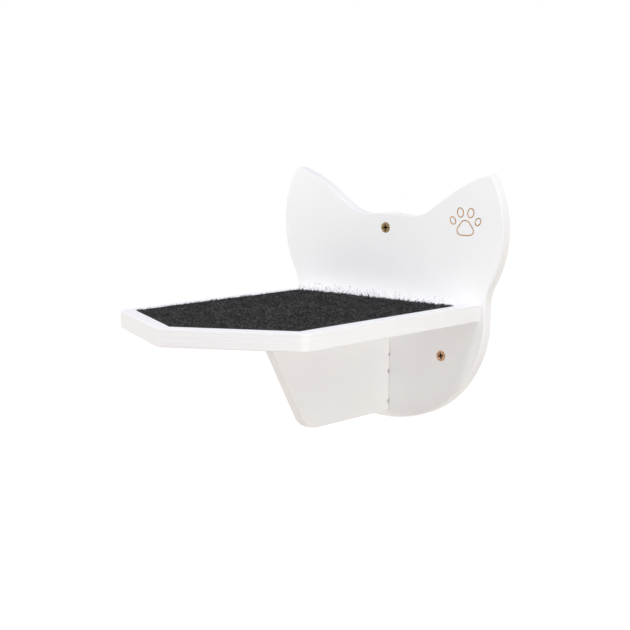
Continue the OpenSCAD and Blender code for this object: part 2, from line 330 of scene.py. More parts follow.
# %% Back panel
WALL_SCREWS = {  # x and z in millimetres, and the cross's turn in degrees
    "wall_screw_top": (-4, 78, 8), "wall_screw_left": (-76, -62, 50),
    "wall_screw_right": (76, -62, 14)}
TRAY_SCREW_X, DOWEL_X, TRAY_T = 59.0, 94.0, 18.0
GUSSET_SCREW_Z = (-46.0, -107.5)
WALL_HOLE, TRAY_HOLE, GUSSET_HOLE = (3.25, 6.5), (2.5, 5.0), (2.25, 4.5)  # radius, and at the face
DOWEL_HOLE_R, INTO_PANEL, INTO_TRAY = 4.05, 10.8, 22.8
PANEL_EASE = 1.6
GROOVE_W, GROOVE_D = 1.3, 0.5
PAW_AT = np.array([104.0, 83.0])
PAD_R, PAD_WIDE, PAD_HIGH, TOE_HIGH = 9.0, 1.12, 0.92, 1.32
TOES = ((158, 17.5, 3.3), (113, 17.2, 3.9), (67, 17.2, 3.9), (22, 17.5, 3.3))


def sunk_hole(radius, top_radius, far):
    """Profile of a countersunk hole: a 90 degree cone from the face, then a straight wall."""
    return [(top_radius, 0.0), (radius, radius - top_radius), (radius, far)]


def blind_hole(radius, depth):
    """Profile of a hole with a flat floor: a straight wall, then in to the middle."""
    return [(radius, 0.0), (radius, -depth), (0.0, -depth)]


def paw_lines():
    """Closed lines of a paw print: a pad of radius 9 * (1 - 0.13 sin 3a - 0.04 sin a), stretched
    sideways, and four ovals on a fan above it, each (bearing, distance, half its width)."""
    a = np.linspace(0, 2 * np.pi, 72, endpoint=False)
    r = PAD_R * (1 - 0.13 * np.sin(3 * a) - 0.04 * np.sin(a))
    lines = [PAW_AT + np.column_stack([PAD_WIDE * r * np.cos(a), PAD_HIGH * r * np.sin(a)])]
    for fan, far, size in TOES:
        t = math.radians(fan)
        lean = math.radians((fan - 90) * 0.5)
        oval = np.column_stack([size * np.cos(a[::2]), TOE_HIGH * size * np.sin(a[::2])])
        spin = np.array([[math.cos(lean), math.sin(lean)], [-math.sin(lean), math.cos(lean)]])
        lines.append(PAW_AT + [far * math.cos(t), far * math.sin(t) + 1.5] + oval @ spin)
    return lines


def groove(line, place):
    """A groove along a closed line, as one patch: outer rim, outer foot, inner foot, inner rim."""
    outer, inner = drawn_in(line, -GROOVE_W / 2), drawn_in(line, GROOVE_W / 2)
    foot_out, foot_in = drawn_in(line, -GROOVE_W / 4), drawn_in(line, GROOVE_W / 4)
    rings = [place(outer), place(foot_out, -GROOVE_D), place(foot_in, -GROOVE_D), place(inner)]
    return strip(rings, SCORCHED), outer, inner


front = plane([0, -PANEL_T, 0], [1, 0, 0], [0, 0, 1])
back = plane([0, 0, 0], [1, 0, 0], [0, 0, 1])
side_wall, face_edge = eased_side(head, 0.0, PANEL_T, PANEL_EASE, back)
patches, front_holes, back_holes = [side_wall], [], []
for x, z, _ in WALL_SCREWS.values():
    patches.append(bore((x, z), sunk_hole(*WALL_HOLE, -PANEL_T), front))
    front_holes.append(circle((x, z), WALL_HOLE[1]))
    back_holes.append(circle((x, z), WALL_HOLE[0]))
# The small screws' holes open in the back, so their profiles run upwards from it.
small_screws = [(x, -TRAY_T / 2, TRAY_HOLE) for x in (-TRAY_SCREW_X, TRAY_SCREW_X)]
small_screws += [(0.0, z, GUSSET_HOLE) for z in GUSSET_SCREW_Z]
for x, z, hole in small_screws:
    rise = [(r, -w) for r, w in sunk_hole(*hole, -PANEL_T)]
    patches.append(bore((x, z), rise, back, facing=-1))
    front_holes.append(circle((x, z), hole[0]))
    back_holes.append(circle((x, z), hole[1]))
for x in (-DOWEL_X, DOWEL_X):
    patches.append(bore((x, -TRAY_T / 2), blind_hole(DOWEL_HOLE_R, INTO_PANEL), front))
    front_holes.append(circle((x, -TRAY_T / 2), DOWEL_HOLE_R))
for line in paw_lines():
    scorched, outer, inner = groove(line, front)
    patches += [scorched, fill(inner, [], front)]
    front_holes.append(outer)
patches += [fill(face_edge, front_holes, front), fill(face_edge, back_holes, back, facing=-1)]
panel_board = make_piece("panel_board", patches)
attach(panel_board, "root")
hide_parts("back_panel")

# %% [markdown]
# ## The tray
# The tray is a thicker board with a pointed front and a shallow pocket milled into its top. Its
# rear end is butted flat against the panel, so its edges are hardly eased.
# The rear wall has its own fill, because screws and dowels go into it.

# %% Tray board
TRAY_HALF, TRAY_SIDE, TRAY_LEN = 125.0, 304.0, 376.0
RIM, REAR_RIM, POCKET_D = 15.5, 28.0, 3.5
DECK_SCREW_Y = (-75.0, -180.0)
REAR_R, SIDE_R, NOSE_R, POCKET_R = 0.8, 14.0, 20.0, 0.6
TRAY_EASE, BUTT_EASE, LIP = 1.2, 0.35, 0.4  # easing of a free edge, a butted one and the pocket's
PILOT_R, PILOT_D = 2.3, 36.1

nose = math.atan2(TRAY_LEN - TRAY_SIDE, TRAY_HALF)  # how far the slanting front is turned
tray_loop = rounded(
    [[-TRAY_HALF, -PANEL_T], [-TRAY_HALF, -PANEL_T - TRAY_SIDE], [0, -PANEL_T - TRAY_LEN],
     [TRAY_HALF, -PANEL_T - TRAY_SIDE], [TRAY_HALF, -PANEL_T]],
    [REAR_R, SIDE_R, NOSE_R, SIDE_R, REAR_R])


def pocket_corners(gap):
    """The pocket's five corners, drawn in by a gap: its front sides run along the tray's own."""
    x = TRAY_HALF - RIM - gap
    point = -PANEL_T - TRAY_LEN + RIM / math.cos(nose) + gap / math.cos(nose)
    side, rear = point + x * math.tan(nose), -PANEL_T - REAR_RIM - gap
    return np.array([[-x, rear], [-x, side], [0.0, point], [x, side], [x, rear]])


top = plane([0, 0, 0], [1, 0, 0], [0, 1, 0])
floor_of_pocket = plane([0, 0, -POCKET_D], [1, 0, 0], [0, 1, 0])
under = plane([0, 0, -TRAY_T], [1, 0, 0], [0, 1, 0])
tray_rear = plane([0, -PANEL_T, 0], [-1, 0, 0], [0, 0, 1])

at_rear = tray_loop[:, 1] > -PANEL_T - 1.0
ease = np.where(at_rear, BUTT_EASE, TRAY_EASE)
(points, faces, mark), tray_edge = eased_side(tray_loop, 0.0, TRAY_T, ease, under)
on_rear = (np.abs(points[faces][:, :, 1] + PANEL_T) < SAME).all(axis=1)
rear = points[faces[on_rear]].reshape(-1, 3)
rear_x, low, high = rear[:, 0].max(), rear[:, 2].min(), rear[:, 2].max()
patches = [(points, faces[~on_rear], mark)]
rear_loop = np.array([[-rear_x, low], [rear_x, low], [rear_x, high], [-rear_x, high]])
rear_holes = []
for far, radius, depth in ((TRAY_SCREW_X, PILOT_R, PILOT_D), (DOWEL_X, DOWEL_HOLE_R, INTO_TRAY)):
    for x in (-far, far):
        patches.append(bore((x, -TRAY_T / 2), blind_hole(radius, depth), tray_rear))
        rear_holes.append(circle((x, -TRAY_T / 2), radius))
patches.append(fill(rear_loop, rear_holes, tray_rear, mark=SAWN))

pocket = rounded(pocket_corners(0.0), [POCKET_R] * 5)
lip = drawn_in(pocket, -LIP)
patches.append(strip([top(lip), top(drawn_in(pocket, -0.15), -0.1), top(pocket, -LIP),
                      top(pocket, -POCKET_D)]))
deck_holes_top, deck_holes_under = [], []
for y in DECK_SCREW_Y:
    patches.append(bore((0, y), sunk_hole(*GUSSET_HOLE, POCKET_D - TRAY_T), floor_of_pocket))
    deck_holes_top.append(circle((0, y), GUSSET_HOLE[1]))
    deck_holes_under.append(circle((0, y), GUSSET_HOLE[0]))
patches += [fill(tray_edge, [lip], top), fill(pocket, deck_holes_top, floor_of_pocket),
            fill(tray_edge, deck_holes_under, under, facing=-1)]
tray = make_piece("tray_board_eased", patches)
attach(tray, "root")
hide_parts("tray_board")

# %% [markdown]
# ## The bracket
# The bracket is a thinner board on edge. Its front slants back and its lower front corner is
# sawn round. Along the edge that meets the panel, a thin light grey is painted in as the crease's
# painted shade. In a few places its paint has cracked: the easing is deeper there, by a bell curve
# of height, and these nicks are painted dark brown, bare wood in painted shade.

# %% Bracket
GUSSET_T, GUSSET_FOOT_Z, GUSSET_REACH, GUSSET_FOOT = 12.0, -133.5, 224.0, 150.0
TOE_R, TIGHT_R, GUSSET_EASE, TIGHT_EASE = 30.0, 0.6, 1.5, 0.5
LONG_SIDE, BESIDE, TIGHT_REACH = 50, 3.0, 1.6
# A nick deeper than the second number is painted dark brown: bare wood in painted shade.
SEAM_POINTS, TORN_DEPTH = 150, 0.75  # where the easing is this much deeper, the paint is torn
# Each nick's height, half its width, and its depth, in millimetres.
NICKS = ((-68.0, 1.6, 1.7), (-87.2, 2.0, 2.1), (-121.8, 1.4, 2.0), (-124.6, 2.0, 0.7))

flank = plane([-GUSSET_T / 2, 0, 0], [0, 1, 0], [0, 0, 1])
other_flank = plane([GUSSET_T / 2, 0, 0], [0, 1, 0], [0, 0, 1])
sawn = rounded(
    [[-PANEL_T, -TRAY_T], [-PANEL_T - GUSSET_REACH, -TRAY_T],
     [-PANEL_T - GUSSET_FOOT, GUSSET_FOOT_Z], [-PANEL_T, GUSSET_FOOT_Z]],
    [TIGHT_R, TIGHT_R, TOE_R, TIGHT_R])
# Two corners are tighter than the easing, which therefore shrinks there and is full again at an
# extra point 3 mm along the side.
sides = np.linalg.norm(np.roll(sawn, -1, axis=0) - sawn, axis=1)
_, slant, foot, _ = np.flatnonzero(sides > LONG_SIDE)
beside = [sawn[a] + BESIDE * (sawn[b] - sawn[a]) / np.linalg.norm(sawn[b] - sawn[a])
          for a, b in ((slant, slant + 1), (foot + 1, foot))]
sawn = np.insert(sawn, [slant + 1, foot + 1], beside, axis=0)
seam_z = np.linspace(GUSSET_FOOT_Z + 1.0, -TRAY_T - 1.0, SEAM_POINTS)
gusset_loop = joined(sawn, np.column_stack([np.full(SEAM_POINTS, -PANEL_T), seam_z]))
at_panel = gusset_loop[:, 0] > -PANEL_T - 0.5
at_tray = gusset_loop[:, 1] > -TRAY_T - 0.5
nick = sum(size * np.exp(-(((gusset_loop[:, 1] - z) / wide) ** 2)) for z, wide, size in NICKS)
ease = np.where(at_tray, BUTT_EASE, np.where(at_panel, 2 * BUTT_EASE + nick, GUSSET_EASE))
tight = np.array([[-PANEL_T - GUSSET_REACH, -TRAY_T], [-PANEL_T, GUSSET_FOOT_Z]])
from_tight = np.linalg.norm(gusset_loop[:, None] - tight, axis=2).min(axis=1)
ease = np.where(from_tight < TIGHT_REACH, np.minimum(ease, TIGHT_EASE), ease)
(points, faces, mark), face_edge = eased_side(gusset_loop, 0.0, GUSSET_T, ease, flank)
rows = len(faces) // len(gusset_loop)
# Faces along the panel get light grey painted shade of the crease; the torn nicks get dark painted
# shade.
torn_and_shaded = np.tile(nick * at_panel > TORN_DEPTH, rows)
crease_shade = np.tile(at_panel, rows) & ~torn_and_shaded
patches = [(points, faces[~torn_and_shaded & ~crease_shade], mark), (points, faces[crease_shade], CREASE_SHADE),
           (points, faces[torn_and_shaded], PAINTED_SHADE), fill(face_edge, [], flank, facing=-1),
           fill(face_edge, [], other_flank)]
bracket = make_piece("bracket_board", patches)
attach(bracket, "root")
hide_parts("gusset")

# %% [markdown]
# ## The felt pad
# The pad is needled felt: a mat of loose fibres, punched together with barbed needles, with no
# weave. It is cut to the pocket and lies almost level with the rim. The top is one
# function of two numbers, u across the tray and v from the panel to the slanting front. Its
# height is rounded off near the border and roughened by random waves of three sizes.

# %% Felt pad
FELT_T, FELT_GAP, FELT_EASE = 4.0, 0.3, 0.9
FELT_TOP = FELT_T - POCKET_D
FELT_LOWER, WAVE_RISE = 0.4, 3.0  # room left for the waves, and how far in they are full
WAVES = ((0.22, 1.7), (0.20, 4.1), (0.30, 31.0))  # height and width of each set, in millimetres
NET = 512  # random heights along each side of the net
felt_corners = pocket_corners(FELT_GAP)
felt_x, felt_rear = felt_corners[3, 0], felt_corners[4, 1]
felt_side, felt_point = felt_corners[3, 1], felt_corners[2, 1]


def felt_front(x):
    """How far forward the felt reaches at x: a straight line from its point to its side."""
    return felt_point + np.abs(x) * (felt_side - felt_point) / felt_x


def value_noise(x, y, size, seed):
    """Random waves from -1 to 1: random heights on a square net `size` millimetres wide, blended
    between the net's corners by the smooth step 3t^2 - 2t^3."""
    net = np.random.default_rng(seed).uniform(-1, 1, (NET, NET))
    i, j = np.floor(x / size).astype(int), np.floor(y / size).astype(int)
    s, t = x / size - i, y / size - j
    s, t = s * s * (3 - 2 * s), t * t * (3 - 2 * t)
    i, j = i % (NET - 1), j % (NET - 1)
    low = net[i, j] * (1 - s) + net[i + 1, j] * s
    high = net[i, j + 1] * (1 - s) + net[i + 1, j + 1] * s
    return low * (1 - t) + high * t


def felt_height(x, y):
    """Height of the felt's top: flat, less a quarter circle's drop within its easing from the
    border, plus random waves that die out at the border."""
    slant = math.cos(math.atan2(abs(felt_side - felt_point), felt_x))
    to_front = (y - felt_front(x)) * slant
    border = np.minimum(np.minimum(felt_x - np.abs(x), felt_rear - y), to_front)
    inside = np.clip(FELT_EASE - border, 0, FELT_EASE)
    drop = FELT_EASE - np.sqrt(FELT_EASE**2 - inside**2)
    wave = sum(high * value_noise(x, y, wide, seed) for seed, (high, wide) in enumerate(WAVES, 1))
    return FELT_TOP - FELT_LOWER - drop + wave * np.clip(border / WAVE_RISE, 0, 1)


def spaced(low, high, count):
    """Numbers from low to high, even but for a few extra ones close to both ends."""
    edge = np.array([0.0, 0.25, 0.6, 1.1, 1.7, 2.3])
    middle = np.linspace(low + 3.2, high - 3.2, count)
    return np.concatenate([low + edge, middle, (high - edge)[::-1]])


u = spaced(-felt_x, felt_x, 151)
u = np.sort(np.append(u[np.abs(u) > 0.4], 0.0))  # one column runs exactly to the point
side_len = felt_rear - felt_side
v = spaced(0.0, side_len, 231) / side_len
grid_x = np.repeat(u[:, None], len(v), axis=1)
grid_y = felt_rear + v[None, :] * (felt_front(grid_x) - felt_rear)
grid = np.stack([grid_x, grid_y, felt_height(grid_x, grid_y)], axis=-1)
at = np.arange(len(u) * len(v)).reshape(len(u), len(v))
quads = np.stack([at[:-1, :-1], at[:-1, 1:], at[1:, 1:], at[1:, :-1]], axis=-1).reshape(-1, 4)
border = np.concatenate([grid[0, :-1], grid[:-1, -1], grid[-1, :0:-1], grid[:0:-1, 0]])
foot = border * [1, 1, 0] + [0, 0, -POCKET_D]
felt = make_piece("felt_pad_needled", [
    (grid.reshape(-1, 3), quads, PLAIN),
    strip([foot, (border + foot) / 2 + [0, 0, 0.6], border]),
    fill(foot[:, :2], [], floor_of_pocket, facing=-1),
], smooth_angle=60)

# %% [markdown]
# ## Loose fibres
# What makes felt look soft is its fuzz: thousands of fibres that leave the mat, arch over and go
# back in. Each one here is a thin three-sided tube along an arched line. Real ones are 0.04 mm
# thick. These are drawn at 0.2 mm, and the wisps that stand up along the rear edge at 0.36 mm,
# because thinner ones would vanish between the pixels.

# %% Fibres
TUFTS, REAR_TUFTS, WISPS = 2300, 240, 440
TUFT_DRAWS = 3600  # places drawn for the tufts, of which some fall beside the felt
ON_RIM, CLEAR = 0.12, 0.05  # how high a foot lies on the rim, and above whatever is below


def fibres(name, x, y, length, lift, tone, seed, thick=0.2, curl=1.6, free=False, steps=4):
    """Thin tubes as one mesh. A fibre's line is its start, plus a step along a heading that turns
    steadily, at a height above the felt of lift * 4 t (1 - t), or lift * t (2 - t) when its end
    is free; three points ring each step. A free end is thickest, where the fibre curls up."""
    rng = np.random.default_rng(seed)
    count = len(x)
    heading = rng.normal(np.pi / 2, 0.9, count) if free else rng.uniform(0, 2 * np.pi, count)
    bend = rng.normal(0, curl, count)[:, None]
    t = np.linspace(0, 1, steps)[None, :]
    step = length[:, None] / (steps - 1)
    angle = heading[:, None] + bend * t
    px = x[:, None] + np.cumsum(np.cos(angle) * step, axis=1)
    py = y[:, None] + np.cumsum(np.sin(angle) * step, axis=1)
    limit_x, limit_y = TRAY_HALF - 3, -PANEL_T - 1.0  # fibres stay on the tray
    px, py = np.clip(px, -limit_x, limit_x), np.minimum(py, limit_y)
    on_felt = (np.abs(px) < felt_x) & (py < felt_rear) & (py > felt_front(px))
    ground = np.where(on_felt, felt_height(px, py), ON_RIM)
    pz = ground + lift[:, None] * (t * (2 - t) if free else 4 * t * (1 - t)) + CLEAR
    line = np.stack([px, py, pz], axis=-1)
    side = np.stack([-np.sin(angle), np.cos(angle), np.zeros_like(angle)], axis=-1)
    spin = np.radians([90, 210, 330])[None, None, :, None]
    swell = 0.2 + 0.8 * t**3 if free else 0.35 + 0.65 * np.sin(np.pi * (0.1 + 0.8 * t))
    taper = (thick / 2 * swell)[..., None, None]
    ring = line[:, :, None] + taper * (np.cos(spin) * side[:, :, None] + np.sin(spin) * [0, 0, 1.0])
    at = np.arange(count * steps * 3).reshape(count, steps, 3)
    ahead = np.roll(at, -1, axis=2)
    walls = np.stack([at[:, :-1], ahead[:, :-1], ahead[:, 1:], at[:, 1:]], axis=-1).reshape(-1, 4)
    ends = np.concatenate([at[:, 0][:, ::-1], at[:, -1]])
    mesh = bpy.data.meshes.new(name)
    mesh.from_pydata((ring.reshape(-1, 3) * MM).tolist(), [], walls.tolist() + ends.tolist())
    mesh.shade_smooth()
    tone = np.repeat(np.clip(tone, 0, 1), steps * 3).astype(np.float32)
    mesh.attributes.new("tone", "FLOAT", "POINT").data.foreach_set("value", tone)
    piece = add_object(name, mesh)
    print(f"{name}: {count} fibres, {len(walls) * 2 + len(ends)} triangles")
    return piece


def tufts(x, y, height, rng, each=4, spread=0.2):
    """Fibres in tufts round the places (x, y): each tuft has its own height and tone, and its
    fibres stray from its middle by a random step of about `spread` millimetres."""
    tone = np.repeat(rng.uniform(0, 1, len(x)), each) + rng.normal(0, 0.12, len(x) * each)
    x, y, height = (np.repeat(v, each) for v in (x, y, height))
    x, y = (v + rng.normal(0, spread, len(v)) for v in (x, y))
    return x, y, rng.uniform(0.6, 1.5, len(x)), height * rng.uniform(0.6, 1.1, len(x)), tone


fuzz = []
for batch in range(3):
    rng = np.random.default_rng(20 + batch)
    x = rng.uniform(-felt_x, felt_x, TUFT_DRAWS)
    y = rng.uniform(felt_point, felt_rear, TUFT_DRAWS)
    inside = np.flatnonzero(y > felt_front(x) + 0.5)[:TUFTS]
    tuft = tufts(x[inside], y[inside], rng.uniform(0.8, 1.9, len(inside)), rng)
    fuzz.append(fibres(f"felt_fuzz_{batch + 1}", *tuft, 30 + batch))
rng = np.random.default_rng(40)
x = rng.uniform(-felt_x, felt_x, REAR_TUFTS)
y = felt_rear - np.abs(rng.normal(0, 0.8, REAR_TUFTS))
tuft = tufts(x, y, rng.gamma(3.0, 0.45, REAR_TUFTS), rng, each=6, spread=0.5)
fuzz.append(fibres("felt_fuzz_rear", *tuft, 41))
x = felt_x * (1 - 2 * rng.beta(2.0, 1.4, WISPS))
y = felt_rear - np.abs(rng.normal(0, 1.0, WISPS))
rise = np.minimum(rng.gamma(2.0, 2.1, WISPS), 10.0)
fuzz.append(fibres("felt_wisps", x, y, rng.uniform(0.8, 3.6, WISPS), rise,
                   rng.uniform(0, 1, WISPS), 42, thick=0.36, curl=3.5, free=True, steps=8))
for piece in [felt, *fuzz]:
    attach(piece, "root")
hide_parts("felt_pad")

# %% [markdown]
# ## Screws
# A countersunk screw is turned: a flat head, a 90 degree cone, a smooth neck and a thread. The
# thread is a function of the angle a and the length z, a ridge whose height depends only on
# z / pitch - a / one turn, which makes it a helix. The driver's cross is a tapered pit.

# %% Screw builder
SUNK, HEAD_RIM, THREAD_STEPS = 0.3, 0.3, 8
PIT_D = 0.3  # the pit's depth, as a share of the head's width
SCREW_KINDS = {  # diameter of the head and of the thread, length, neck's diameter and length, pitch
    "wall": (12.0, 6.0, 60.0, 5.0, 15.2, 2.6),
    "tray": (9.0, 4.5, 50.0, 3.4, 14.0, 1.8),
    "gusset": (8.0, 4.0, 45.0, 3.0, 14.0, 1.8)}


def cross_loop(half_length, half_width):
    """A cross, anticlockwise: twelve corners, from two bars at right angles that taper a little
    towards their ends."""
    l, w, e = half_length, half_width, 0.85 * half_width
    return np.array([[l, -e], [l, e], [w, w], [e, l], [-e, l], [-w, w],
                     [-l, e], [-l, -e], [-w, -w], [-e, -l], [e, -l], [w, -w]], float)


def make_screw(name, place, head_d, shank_d, length, neck_d, neck_len, pitch):
    """A screw from its head's face down to its point, in patches: the face with the cross cut
    out, the pit, the head's side, and the neck and thread as rings of varying radius."""
    head_r, cone = head_d / 2, (head_d - neck_d) / 2
    pit_top = cross_loop(0.31 * head_d, 0.08 * head_d)
    pit_low = cross_loop(0.15 * head_d, 0.04 * head_d)
    patches = [
        fill(circle((0, 0), head_r - HEAD_RIM), [pit_top], place),
        # The pit's walls and floor are painted near black: painted shade deep in the recess.
        strip([place(pit_top), place(pit_low, -PIT_D * head_d)], PAINTED_SHADE),
        fill(pit_low, [], lambda flat: place(flat, -PIT_D * head_d), mark=PAINTED_SHADE),
    ]
    side = [(head_r - HEAD_RIM, 0.0), (head_r, -0.08), (head_r, -HEAD_RIM), (neck_d / 2, -cone),
            (neck_d / 2, -neck_len)]  # a worn rim, the cone and the neck
    patches.append(strip([place(circle((0, 0), r), w) for r, w in side[::-1]]))
    z = np.arange(neck_len, length + SAME, pitch / THREAD_STEPS)
    a = np.linspace(0, 2 * np.pi, CIRCLE_POINTS, endpoint=False)
    phase = (z[:, None] / pitch - a[None, :] / (2 * np.pi)) % 1
    ridge = np.clip(1 - np.abs(phase - 0.5) * 4.5, 0, 1)
    fade = np.clip((z - neck_len) / pitch, 0, 1)[:, None]
    point = np.clip((length - z) / (shank_d * 1.1), 0.04, 1)[:, None]
    core = shank_d * 0.33
    radius = (core + (shank_d / 2 - core) * ridge * fade) * point
    radius[0] = neck_d / 2
    flat = radius[..., None] * np.stack([np.cos(a), np.sin(a)], axis=-1)
    rings = [place(ring, -depth) for ring, depth in zip(flat, z)]
    patches.append(strip(rings[::-1]))
    patches.append(fill(flat[-1], [], lambda end: place(end, -z[-1]), facing=-1))
    return make_piece(name, patches)


brass_screws, zinc_screws = [], []
for node, (x, z, turned) in WALL_SCREWS.items():
    c, s = math.cos(math.radians(turned)), math.sin(math.radians(turned))
    place = plane([x, -PANEL_T + SUNK, z], [c, 0, s], [-s, 0, c])
    brass_screws.append(make_screw(node + "_turned", place, *SCREW_KINDS["wall"]))
hidden = {"tray_screw_left": ([-TRAY_SCREW_X, -SUNK, -TRAY_T / 2], "tray"),
          "tray_screw_right": ([TRAY_SCREW_X, -SUNK, -TRAY_T / 2], "tray"),
          "gusset_screw_upper": ([0, -SUNK, GUSSET_SCREW_Z[0]], "gusset"),
          "gusset_screw_lower": ([0, -SUNK, GUSSET_SCREW_Z[1]], "gusset"),
          "deck_screw_rear": ([0, DECK_SCREW_Y[0], -POCKET_D - SUNK], "gusset"),
          "deck_screw_front": ([0, DECK_SCREW_Y[1], -POCKET_D - SUNK], "gusset")}
for node, (head_at, kind) in hidden.items():
    across, up = ([1, 0, 0], [0, 1, 0]) if node.startswith("deck") else ([-1, 0, 0], [0, 0, 1])
    place = plane(head_at, across, up)
    zinc_screws.append(make_screw(node + "_turned", place, *SCREW_KINDS[kind]))
for piece in brass_screws + zinc_screws:
    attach(piece, "root")
    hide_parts(piece.name.replace("_turned", ""))

# %% [markdown]
# ## Dowels
# The dowels that line up tray and panel are beech pegs with fine flutes, which let the glue rise
# past them. The radius is the full one less a flute's depth where sixteen waves of the angle dip.

# %% Dowels
PEG_R, PEG_END_R, PEG_REAR_Y = 4.0, 3.0, -5.0
FLUTES, FLUTE_D = 16, 0.25
PEG_PROFILE = ((0, 1.0, 0), (1.0, 0, 0.5), (2.0, 0, 1), (30.0, 0, 1), (31.0, 0, 0.5),
               (32.0, 1.0, 0))  # how far along, how much thinner, and how much of the flute

dowels = []
for node, x in (("dowel_left", -DOWEL_X), ("dowel_right", DOWEL_X)):
    place = plane([x, PEG_REAR_Y, -TRAY_T / 2], [-1, 0, 0], [0, 0, 1])
    a = np.linspace(0, 2 * np.pi, 6 * FLUTES, endpoint=False)
    flute = FLUTE_D * np.clip(-np.cos(FLUTES * a), 0, 1)
    around = np.column_stack([np.cos(a), np.sin(a)])
    rings = [place((PEG_R - thinner - flute * cut)[:, None] * around, -along)
             for along, thinner, cut in PEG_PROFILE]
    far_end = fill(PEG_END_R * around, [], lambda end: place(end, -PEG_PROFILE[-1][0]), facing=-1)
    near_end = fill(PEG_END_R * around, [], place)
    peg = make_piece(node + "_fluted", [strip(rings[::-1]), near_end, far_end])
    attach(peg, "root")
    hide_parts(node)
    dowels.append(peg)

# %% [markdown]
# ## Tools for materials
# Colours are written as the hex values that a paint chart would give. Blender's shaders work in
# linear light, so one function converts them. Another adds a node and wires it in one line.

# %% Colour and nodes


def linear(hex_code):
    """An sRGB hex colour as linear light: ((c + 0.055) / 1.055) ** 2.4, or c / 12.92 when dark."""
    c = np.array([int(hex_code[i:i + 2], 16) for i in (1, 3, 5)]) / 255
    return (*np.where(c > 0.04045, ((c + 0.055) / 1.055) ** 2.4, c / 12.92), 1.0)


def per_mm(size):
    """A noise or wave scale that makes one feature `size` millimetres wide."""
    return 1 / (size * MM)


def add_node(tree, kind, settings=None, links=None):
    """Adds one node. settings go to the input of that name or number, or else to the node's own
    property; links join other nodes' outputs to its inputs."""
    new = tree.nodes.new("ShaderNode" + kind)
    for key, value in (settings or {}).items():
        if isinstance(key, int) or key in new.inputs:
            new.inputs[key].default_value = value
        else:
            setattr(new, key, value)
    for key, output in (links or {}).items():
        tree.links.new(output, new.inputs[key])
    return new


def start_material(name):
    """An empty node material with an output and a Principled shader, and its Object position."""
    material = bpy.data.materials.new(name)
    material.use_nodes = True
    tree = material.node_tree
    tree.nodes.clear()
    shader = add_node(tree, "BsdfPrincipled")
    add_node(tree, "OutputMaterial", {}, {"Surface": shader.outputs["BSDF"]})
    position = add_node(tree, "TexCoord").outputs["Object"]
    return material, tree, shader, position


def ramp(tree, value, low, high, dark, light):
    """Turns a value between low and high into a colour between two others."""
    new = add_node(tree, "ValToRGB", {}, {"Fac": value})
    new.color_ramp.elements[0].position, new.color_ramp.elements[1].position = low, high
    new.color_ramp.elements[0].color, new.color_ramp.elements[1].color = dark, light
    return new.outputs["Color"]


# %% [markdown]
# ## White paint on plywood
# The boards are birch plywood with a sprayed, satin white lacquer. The eye sees a nearly even
# white with a soft sheen, a faint orange-peel ripple about 1.5 mm wide, and on the sawn edges
# the layers of the plywood, 1.4 mm thick, which show through as faint streaks.

# %% White paint


def white_paint(name, ply_axis):
    """Satin white lacquer. ply_axis is the axis through the board, across which the edge streaks
    change fast; along the edge they change slowly. The mark limits them to the edges, paints light
    grey painted shade into the crease at the panel, turns the scorched lines brown and paints the
    torn nicks dark, bare wood in painted shade."""
    material, tree, shader, position = start_material(name)
    shader.inputs["Roughness"].default_value = 0.5
    shader.inputs["IOR"].default_value = 1.5
    sawn = add_node(tree, "Attribute", {"attribute_name": "sawn"}).outputs["Fac"]
    scale = [per_mm(60)] * 3
    scale["xyz".index(ply_axis)] = per_mm(1.4)
    squeezed = add_node(tree, "Mapping", {"Scale": scale}, {"Vector": position}).outputs[0]
    streak, cloud, peel, char = (
        add_node(tree, "TexNoise", {"Scale": size, "Detail": detail}, {"Vector": at}).outputs["Fac"]
        for size, detail, at in ((1.0, 2.0, squeezed), (per_mm(70), 2.0, position),
                                 (per_mm(1.5), 1.0, position), (per_mm(3.0), 3.0, position)))
    paint = ramp(tree, cloud, 0.35, 0.65, linear("#F6F6F7"), linear("#F8F8F8"))
    bare = ramp(tree, streak, 0.35, 0.6, linear("#F5F4F4"), linear("#F8F8F8"))
    burnt = ramp(tree, char, 0.35, 0.7, linear("#A1733A"), linear("#DDB271"))
    on_edge = add_node(tree, "Math", {"operation": "MINIMUM", 1: 1.0}, {0: sawn}).outputs[0]
    crease_shade, scorch, torn_and_shaded = (
        add_node(tree, "Math", {"operation": "GREATER_THAN", 1: mark - 0.1}, {0: sawn}).outputs[0]
        for mark in (CREASE_SHADE, SCORCHED, PAINTED_SHADE))
    colour = add_node(tree, "Mix", {"data_type": "RGBA"},
                      {0: on_edge, 6: paint, 7: bare}).outputs[2]
    # Light grey painted shade in the crease where the bracket meets the panel.
    colour = add_node(tree, "Mix", {"data_type": "RGBA", 7: linear("#D9D4CC")},
                      {0: crease_shade, 6: colour}).outputs[2]
    colour = add_node(tree, "Mix", {"data_type": "RGBA"},
                      {0: scorch, 6: colour, 7: burnt}).outputs[2]
    # Dark brown for the torn nicks: bare wood in painted shade.
    colour = add_node(tree, "Mix", {"data_type": "RGBA", 7: linear("#33291D")},
                      {0: torn_and_shaded, 6: colour}).outputs[2]
    tree.links.new(colour, shader.inputs["Base Color"])
    layer = add_node(tree, "Math", {"operation": "MULTIPLY"}, {0: streak, 1: on_edge})
    faint = add_node(tree, "Math", {"operation": "MULTIPLY", 1: 0.35}, {0: layer.outputs[0]})
    ripple = add_node(tree, "Math", {"operation": "MULTIPLY_ADD", 1: 0.25},
                      {0: peel, 2: faint.outputs[0]})
    bump = add_node(tree, "Bump", {"Strength": 0.22, "Distance": 0.15 * MM},
                    {"Height": ripple.outputs[0]})
    tree.links.new(bump.outputs["Normal"], shader.inputs["Normal"])
    return material


